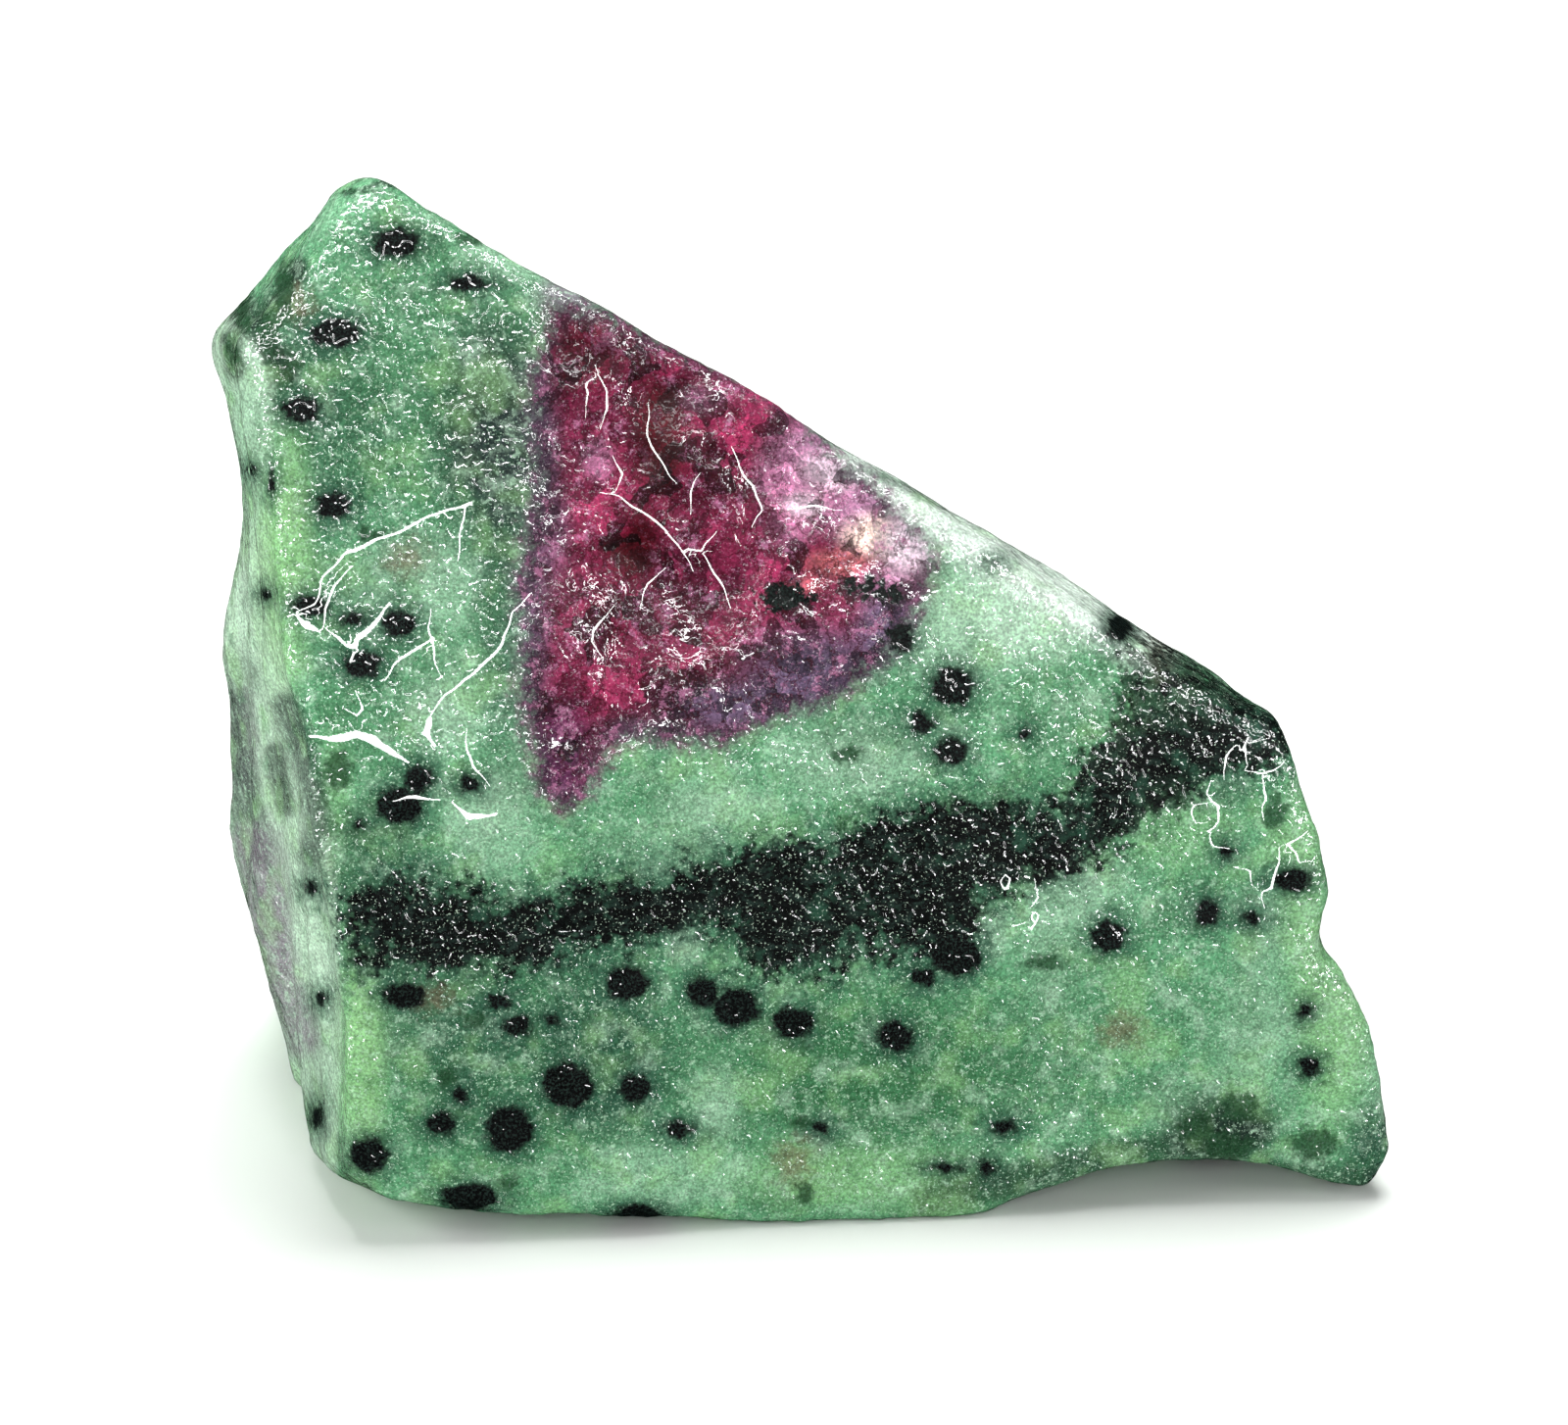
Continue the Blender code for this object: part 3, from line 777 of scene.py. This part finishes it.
# How far the rock's grain frays the edges of the markings, as factors on its shake.
STAIN_FRAY = 3.0
SEAM_FRAY = 3.0
LOBE_REACH = 4.5
RUBY_FRAY = 3.0
RIM_FRAY = 2.0
GRAIN_FRAY = 1.1
GRAIN_FRAY_IN_RUBY = 4.0

# The green in the ruby's tint, from its clear hollows to its cloudy facets.
CLOUDING = (0.001, 0.01)


class Wiring:
    """Adds shader nodes to a material and links them up."""

    def __init__(self, material):
        material.use_nodes = True
        self.tree = material.node_tree
        self.shader = self.tree.nodes["Principled BSDF"]

    def feed(self, socket, value):
        if isinstance(value, bpy.types.NodeSocket):
            self.tree.links.new(value, socket)
        elif hasattr(value, "__len__") and len(value) == 3 and socket.type == "RGBA":
            socket.default_value = (*value, 1)
        else:
            socket.default_value = value

    def node(self, kind, inputs=None, **settings):
        made = self.tree.nodes.new("ShaderNode" + kind)
        for setting, value in settings.items():
            setattr(made, setting, value)
        for name, value in (inputs or {}).items():
            self.feed(made.inputs[name], value)
        return made

    def place(self, scale=(1, 1, 1)):
        """Object coordinates in millimetres."""
        coordinates = self.node("TexCoord").outputs["Object"]
        scaled = tuple(s / MM for s in scale)
        return self.node("Mapping", {"Vector": coordinates, "Scale": scaled}).outputs["Vector"]

    def noise(self, place, size, detail, roughness, output="Fac"):
        inputs = {"Vector": place, "Scale": 1 / size, "Detail": detail, "Roughness": roughness}
        return self.node("TexNoise", inputs).outputs[output]

    def cells(self, place, size):
        """A random colour for each cell of this size."""
        return self.node("TexVoronoi", {"Vector": place, "Scale": 1 / size}).outputs["Color"]

    def maths(self, operation, *values):
        made = self.node("Math", operation=operation)
        for socket, value in zip(made.inputs, values):
            self.feed(socket, value)
        return made.outputs[0]

    def plus(self, first, second):
        return self.maths("ADD", first, second)

    def minus(self, first, second):
        return self.maths("SUBTRACT", first, second)

    def times(self, first, second):
        return self.maths("MULTIPLY", first, second)

    def from_middle(self, value):
        """How far a noise is from its middle value: a net of lines where this is 0."""
        return self.maths("ABSOLUTE", self.minus(value, 0.5))

    def ramp(self, value, low, high, bottom=0.0, top=1.0):
        """Goes smoothly from bottom at the low value to top at the high one."""
        inputs = {
            "Value": value, "From Min": low, "From Max": high, "To Min": bottom, "To Max": top}
        return self.node("MapRange", inputs, interpolation_type="SMOOTHSTEP").outputs["Result"]

    def mix(self, share, first, second):
        made = self.node("Mix", data_type="RGBA")
        for index, value in ((0, share), (6, first), (7, second)):
            self.feed(made.inputs[index], value)
        return made.outputs[2]

    def lean(self, share, first, second):
        """Turns one direction towards another."""
        made = self.node("Mix", data_type="VECTOR")
        for index, value in ((0, share), (4, first), (5, second)):
            self.feed(made.inputs[index], value)
        unit = self.node("VectorMath", {0: made.outputs[1]}, operation="NORMALIZE")
        return unit.outputs["Vector"]

    def scaled(self, colour, factor):
        made = self.node("VectorMath", {0: colour, "Scale": factor}, operation="SCALE")
        return made.outputs["Vector"]

    def part(self, colour, name):
        return self.node("SeparateColor", {"Color": colour}).outputs[name]

    def number(self, name):
        return self.node("Attribute", attribute_name=name).outputs["Fac"]

    def colour(self, name):
        return self.node("Attribute", attribute_name=name).outputs["Color"]

    def bump(self, height, millimetres):
        inputs = {"Height": height, "Distance": millimetres * MM, "Strength": 1.0}
        return self.node("Bump", inputs).outputs["Normal"]


def inside(w, name, wander, soft):
    """The share of a marking at a point, its edge shaken by the grain of the rock."""
    return w.ramp(w.plus(w.number(name), wander), -soft, soft)


def near(w, name, grain, wander, reach, share):
    """How much of a marking's shade lies on the rock round it."""
    depth = w.plus(w.number(name), w.times(grain["shake"], wander))
    return w.ramp(depth, *reach, top=share)


def speckled(w, colour, grain, flecks, fleck_colour):
    """A colour with the sugary grain of the rock and pale flecks on it."""
    return w.mix(flecks, w.scaled(colour, grain["sugar"]), fleck_colour)


def zoisite_colour(w, rock, place, grain):
    """Sugary green rock: soft mottles, milky flecks, and teal shade near the dark minerals."""
    mottle = w.noise(place, *MOTTLE)
    milk_and_sheen = w.noise(place, *MILK)
    sun = w.noise(place, *SUN)
    colour = w.mix(w.ramp(mottle, 0.5, 0.72, top=0.45), w.colour("rock_tint"), rock.pale)
    colour = w.mix(w.ramp(mottle, 0.5, 0.28, top=0.55), colour, rock.green)
    colour = w.mix(w.ramp(sun, 0.5, 0.7, top=0.4), colour, rock.lime)
    colour = w.mix(w.ramp(milk_and_sheen, 0.56, 0.70, top=0.5), colour, rock.pale)
    colour = w.mix(near(w, "hornblende", grain, 1.5, (-1.25, 0.1), 0.8), colour, rock.teal)
    colour = w.mix(near(w, "seam", grain, 4.5, (-2.4, 0.3), 0.85), colour, rock.teal)
    colour = w.mix(near(w, "ruby", grain, 1.6, (-1.0, 0.2), 0.4), colour, rock.lilac_grey)
    stain = inside(w, "rust", w.times(grain["shake"], STAIN_FRAY), 0.8)
    colour = w.mix(w.times(stain, 0.7), colour, rock.rust)
    return speckled(w, colour, grain, grain["flecks"], rock.pale)


def seam_colour(w, rock, place, grain):
    """Black needles with teal between them."""
    fibre = w.noise(w.place(FIBRE_SQUEEZE), *FIBRE)
    patch = w.noise(place, *SEAM_PATCHES)
    colour = w.mix(w.ramp(fibre, 0.46, 0.66), rock.seam, rock.seam_light)
    colour = w.mix(w.ramp(patch, 0.56, 0.72, top=0.75), colour, rock.teal)
    # Painted glints: sparse pale specks on the black seam, where the wet gloss glints.
    return speckled(w, colour, grain, grain["painted_glints"], rock.mist)


def ruby_colour(w, gems, place, grain):
    """Broken facets of their own shade, dark cracks and crushed, frosted bits."""
    bend = w.noise(place, *BEND, output="Color")
    bent = w.node("VectorMath", {0: place, 1: bend}, operation="ADD").outputs["Vector"]
    facet = w.part(w.cells(bent, FACET), "Red")
    chip = w.part(w.cells(bent, CHIP), "Green")
    crushed = w.noise(place, *CRUSHED)
    crack = w.from_middle(w.noise(place, *CRACKS))
    cloudy = w.ramp(ruby_clouding(w), *CLOUDING, bottom=0.15)
    colour = w.scaled(w.colour("ruby_tint"), w.ramp(facet, 0, 1, bottom=0.28, top=1.85))
    colour = w.scaled(colour, w.ramp(chip, 0, 1, bottom=0.7, top=1.35))
    colour = w.mix(w.ramp(crack, 0.03, 0, top=0.7), colour, gems.deep)
    colour = w.mix(w.times(w.ramp(crushed, 0.54, 0.62, top=0.6), cloudy), colour, gems.pink)
    frost = w.ramp(w.noise(place, *FROST), 0.56, 0.70, top=0.4)
    colour = w.mix(w.times(frost, cloudy), colour, gems.pink)
    rim = w.plus(w.number("ruby"), w.times(grain["shake"], RIM_FRAY))
    colour = w.mix(w.ramp(rim, 1.4, 0, top=0.7), colour, gems.violet)
    frosted = w.times(w.ramp(crushed, 0.46, 0.58, bottom=0.1, top=0.8), cloudy)
    return speckled(w, colour, grain, w.times(grain["flecks"], frosted), gems.blush)


def ruby_clouding(w):
    """Low in the ruby's clear, deep hollows, where its tint holds next to no green."""
    return w.part(w.colour("ruby_tint"), "Green")


def rock_grain(w, place, fine):
    """What shakes every edge and speckles every colour."""
    sugar_pick = w.part(w.cells(place, SUGAR), "Red")
    sparkle = w.noise(place, *SPARKLE)
    return {
        "shake": w.minus(w.noise(place, *SHAKE), 0.5),
        "sugar": w.times(
            w.ramp(fine, 0.3, 0.7, bottom=0.62, top=1.38),
            w.ramp(sugar_pick, 0, 1, bottom=0.88, top=1.12)),
        "flecks": w.ramp(sparkle, 0.59, 0.67, top=0.85),
        # Painted glints: sparse, bright specks for the black seam.
        "painted_glints": w.ramp(sparkle, 0.63, 0.69, top=0.9),
    }


def add_seam(w, rock, place, grain, body):
    """The seam and, paler, the fan into which it spreads."""
    seam = seam_colour(w, rock, place, grain)
    lobes = w.minus(w.noise(place, *LOBES), 0.5)
    ragged = w.plus(w.times(grain["shake"], SEAM_FRAY), w.times(lobes, LOBE_REACH))
    fan = w.ramp(w.noise(place, *FAN_PATCHES), 0.62, 0.38, bottom=0.75)
    body = w.mix(w.times(inside(w, "seam_fan", ragged, 0.6), fan), body, seam)
    return w.mix(inside(w, "seam", ragged, 0.65), body, seam)


def add_grains(w, rock, grain, fine, body):
    """Moss and hornblende grains. Their edges are more ragged in the ruby."""
    fray = w.ramp(w.number("ruby"), -0.5, 0.8, bottom=GRAIN_FRAY, top=GRAIN_FRAY_IN_RUBY)
    edge = w.times(grain["shake"], fray)
    moss = speckled(w, rock.moss, grain, grain["flecks"], rock.teal)
    moss_share = inside(w, "moss", w.times(edge, 1.6), 0.3)
    body = w.mix(w.times(moss_share, 0.85), body, moss)
    dark = w.mix(w.ramp(fine, 0.45, 0.7), rock.hornblende, rock.seam_light)
    return w.mix(inside(w, "hornblende", edge, 0.22), body, dark)


def gloss_ridges(w, grain):
    """1 on the ridges of the gloss, 0 off them."""
    side = w.plus(w.number("gloss_side"), w.times(grain["shake"], 1.5))
    on_line = w.ramp(w.maths("ABSOLUTE", side), 1.5, 1.0)
    return w.times(on_line, w.ramp(w.number("gloss_off"), 0.5, 0.4))


def finish_material(rock, gems):
    """The stone's one material."""
    material = bpy.data.materials.new(SLOT)
    w = Wiring(material)
    place = w.place()
    fine = w.noise(place, *FINE)
    grain = rock_grain(w, place, fine)
    ridges = gloss_ridges(w, grain)
    body = zoisite_colour(w, rock, place, grain)
    body = add_seam(w, rock, place, grain, body)
    ruby_share = inside(w, "ruby", w.times(grain["shake"], RUBY_FRAY), 0.6)
    body = w.mix(ruby_share, body, ruby_colour(w, gems, place, grain))
    body = add_grains(w, rock, grain, fine, body)
    # Painted highlight: the colour is whitened a little along the gloss ridges, under their coat's
    # glints.
    body = w.mix(w.times(ridges, 0.15), body, rock.pale)
    w.feed(w.shader.inputs["Base Color"], body)
    w.feed(w.shader.inputs["Roughness"], w.ramp(fine, 0.3, 0.7, bottom=0.4, top=0.65))
    w.feed(w.shader.inputs["Normal"], w.bump(fine, GRAIN_HEIGHT))
    w.shader.inputs["Specular IOR Level"].default_value = 0.05
    lay_gloss(w, place, ridges)
    return material


def lay_gloss(w, place, ridges):
    """A wet gloss with beads, waves and threads in its skin, and a few ridges that face up."""
    beads = w.times(w.noise(place, *BEADS), BEAD_HEIGHT)
    waves = w.times(w.noise(place, *WAVES), WAVE_HEIGHT)
    off_thread = w.from_middle(w.noise(place, *THREADS))
    threads = w.times(w.ramp(off_thread, 0.14, 0), THREAD_HEIGHT)
    calm = w.ramp(w.number("ruby"), -0.3, 0.5, bottom=1.0, top=0.75)
    height = w.plus(w.plus(beads, waves), threads)
    curls = w.bump(w.times(height, calm), 1.0)
    w.feed(w.shader.inputs["Coat Normal"], w.lean(ridges, curls, RIDGE_TOP))
    patchy = w.ramp(w.noise(place, *DRY_PATCHES), 0.46, 0.60, bottom=0.85, top=0.1)
    clear = w.ramp(ruby_clouding(w), *CLOUDING, bottom=0.9, top=0)
    in_ruby = w.ramp(w.number("ruby"), -0.2, 0.6)
    dry = w.times(w.maths("MAXIMUM", patchy, clear), in_ruby)
    dry = w.times(dry, w.minus(1.0, ridges))
    w.feed(w.shader.inputs["Coat Weight"], w.minus(1.0, dry))
    w.shader.inputs["Coat Roughness"].default_value = 0.04
    w.shader.inputs["Coat IOR"].default_value = 1.45


# Studio.

def aimed(obj, azimuth, elevation, distance):
    """Places an object round LOOK_AT and turns its -Z to it. Azimuth 0 is the camera's side."""
    turn, rise = math.radians(azimuth), math.radians(elevation)
    back = Vector((
        math.sin(turn) * math.cos(rise), -math.cos(turn) * math.cos(rise), math.sin(rise)))
    obj.location = LOOK_AT + back * distance
    obj.rotation_euler = (-back).to_track_quat("-Z", "Y").to_euler()


def add_light(name, azimuth, elevation, distance, width, height, watts, roll=0.0, gloss=False):
    """A soft light. A gloss light only lights the gloss, and the others leave it alone."""
    lamp = bpy.data.lights.new(name, "AREA")
    lamp.shape = "RECTANGLE"
    lamp.size = width
    lamp.size_y = height
    lamp.energy = watts
    obj = bpy.data.objects.new(name, lamp)
    bpy.context.scene.collection.objects.link(obj)
    aimed(obj, azimuth, elevation, distance)
    obj.rotation_euler.rotate_axis("Z", math.radians(roll))
    obj.visible_diffuse = not gloss
    obj.visible_glossy = gloss
    return obj


SOFT_LIGHTS = (
    ("left_softbox", -85, 25, 0.55, 0.25, 0.25, 1.7),
    ("front_softbox", -8, 26, 0.60, 0.30, 0.25, 0.95),
    ("right_softbox", 60, 25, 0.55, 0.25, 0.25, 0.4),
    ("top_softbox", 175, 76, 0.55, 0.30, 0.30, 3.8),
)
GLOSS_LIGHTS = (
    ("gloss_sky", -6, 61, 0.5, 0.40, 0.10, 5.0),
    ("gloss_upper_left", -46, 45, 0.5, 0.24, 0.05, 2.6, 40),
    ("gloss_upper_right", 44, 45, 0.5, 0.24, 0.05, 2.6, -40),
    ("gloss_left", -60, 10, 0.5, 0.045, 0.32, 3.0),
    ("gloss_right", 56, 10, 0.5, 0.045, 0.32, 3.0),
)


def add_floor(studio):
    select_none()
    bpy.ops.mesh.primitive_plane_add(size=6.0, location=(0, 0, 0))
    floor = bpy.context.active_object
    floor.name = "floor"
    material = bpy.data.materials.new("floor")
    w = Wiring(material)
    w.shader.inputs["Base Color"].default_value = (*studio.floor, 1)
    w.shader.inputs["Roughness"].default_value = 0.9
    w.shader.inputs["Specular IOR Level"].default_value = 0.2
    floor.data.materials.append(material)
    floor.visible_glossy = False


def add_sky(studio):
    world = bpy.data.worlds.new("studio")
    world.use_nodes = True
    background = world.node_tree.nodes["Background"]
    background.inputs["Color"].default_value = (1, 1, 1, 1)
    background.inputs["Strength"].default_value = studio.sky_strength
    bpy.context.scene.world = world
    world.cycles_visibility.glossy = False


def add_camera(studio):
    lens = bpy.data.cameras.new("camera")
    lens.lens = studio.lens
    lens.clip_start = 0.01
    camera = bpy.data.objects.new("camera", lens)
    camera.location = EYE
    camera.rotation_euler = (math.radians(90) - LOOK_DOWN, 0, 0)
    bpy.context.scene.collection.objects.link(camera)
    bpy.context.scene.camera = camera


class STONE_OT_dress(bpy.types.Operator):
    """Builds the stone's fine skin over the frame's solid, with its markings and material"""

    bl_idname = "stone.dress"
    bl_label = "Dress the stone"

    def execute(self, context):
        scene = context.scene
        stone = copy_of_solid()
        grow_skin(stone, scene.stone_skin)
        mark(stone, group_colours(scene.rock_colours), group_colours(scene.ruby_colours))
        stone.data.materials.append(finish_material(scene.rock_colours, scene.ruby_colours))
        select_only(stone)
        bpy.ops.object.shade_smooth()
        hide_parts(NODE)
        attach(stone, BODY)
        return {"FINISHED"}


class STONE_OT_studio(bpy.types.Operator):
    """Lays the floor, hangs the lights and sets the camera"""

    bl_idname = "stone.studio"
    bl_label = "Set the studio"

    def execute(self, context):
        studio = context.scene.stone_studio
        add_floor(studio)
        add_sky(studio)
        for light in SOFT_LIGHTS:
            add_light(*light)
        for light in GLOSS_LIGHTS:
            add_light(*light, gloss=True)
        add_camera(studio)
        context.scene.view_settings.view_transform = "Standard"
        return {"FINISHED"}


class STONE_PT_panel(bpy.types.Panel):
    """The stone's operators, sizes and colours"""

    bl_idname = "STONE_PT_panel"
    bl_label = "Ruby in Zoisite"
    bl_space_type = "VIEW_3D"
    bl_region_type = "UI"
    bl_category = "Stone"

    def draw(self, context):
        layout = self.layout
        layout.operator(STONE_OT_dress.bl_idname)
        layout.operator(STONE_OT_studio.bl_idname)
        for name in GROUPS:
            box = layout.box()
            group = getattr(context.scene, name)
            for key in group.bl_rna.properties.keys():
                if key not in ("rna_type", "name"):
                    box.prop(group, key)


GROUPS = {
    "stone_skin": StoneSkin,
    "rock_colours": RockColours,
    "ruby_colours": RubyColours,
    "stone_studio": Studio,
}
CLASSES = (*GROUPS.values(), STONE_OT_dress, STONE_OT_studio, STONE_PT_panel)


def register():
    for cls in CLASSES:
        bpy.utils.register_class(cls)
    for name, group in GROUPS.items():
        setattr(bpy.types.Scene, name, bpy.props.PointerProperty(type=group))


def unregister():
    for name in GROUPS:
        delattr(bpy.types.Scene, name)
    for cls in reversed(CLASSES):
        bpy.utils.unregister_class(cls)


def main():
    register()
    bpy.ops.stone.dress()
    bpy.ops.stone.studio()


if __name__ == "__main__":
    main()
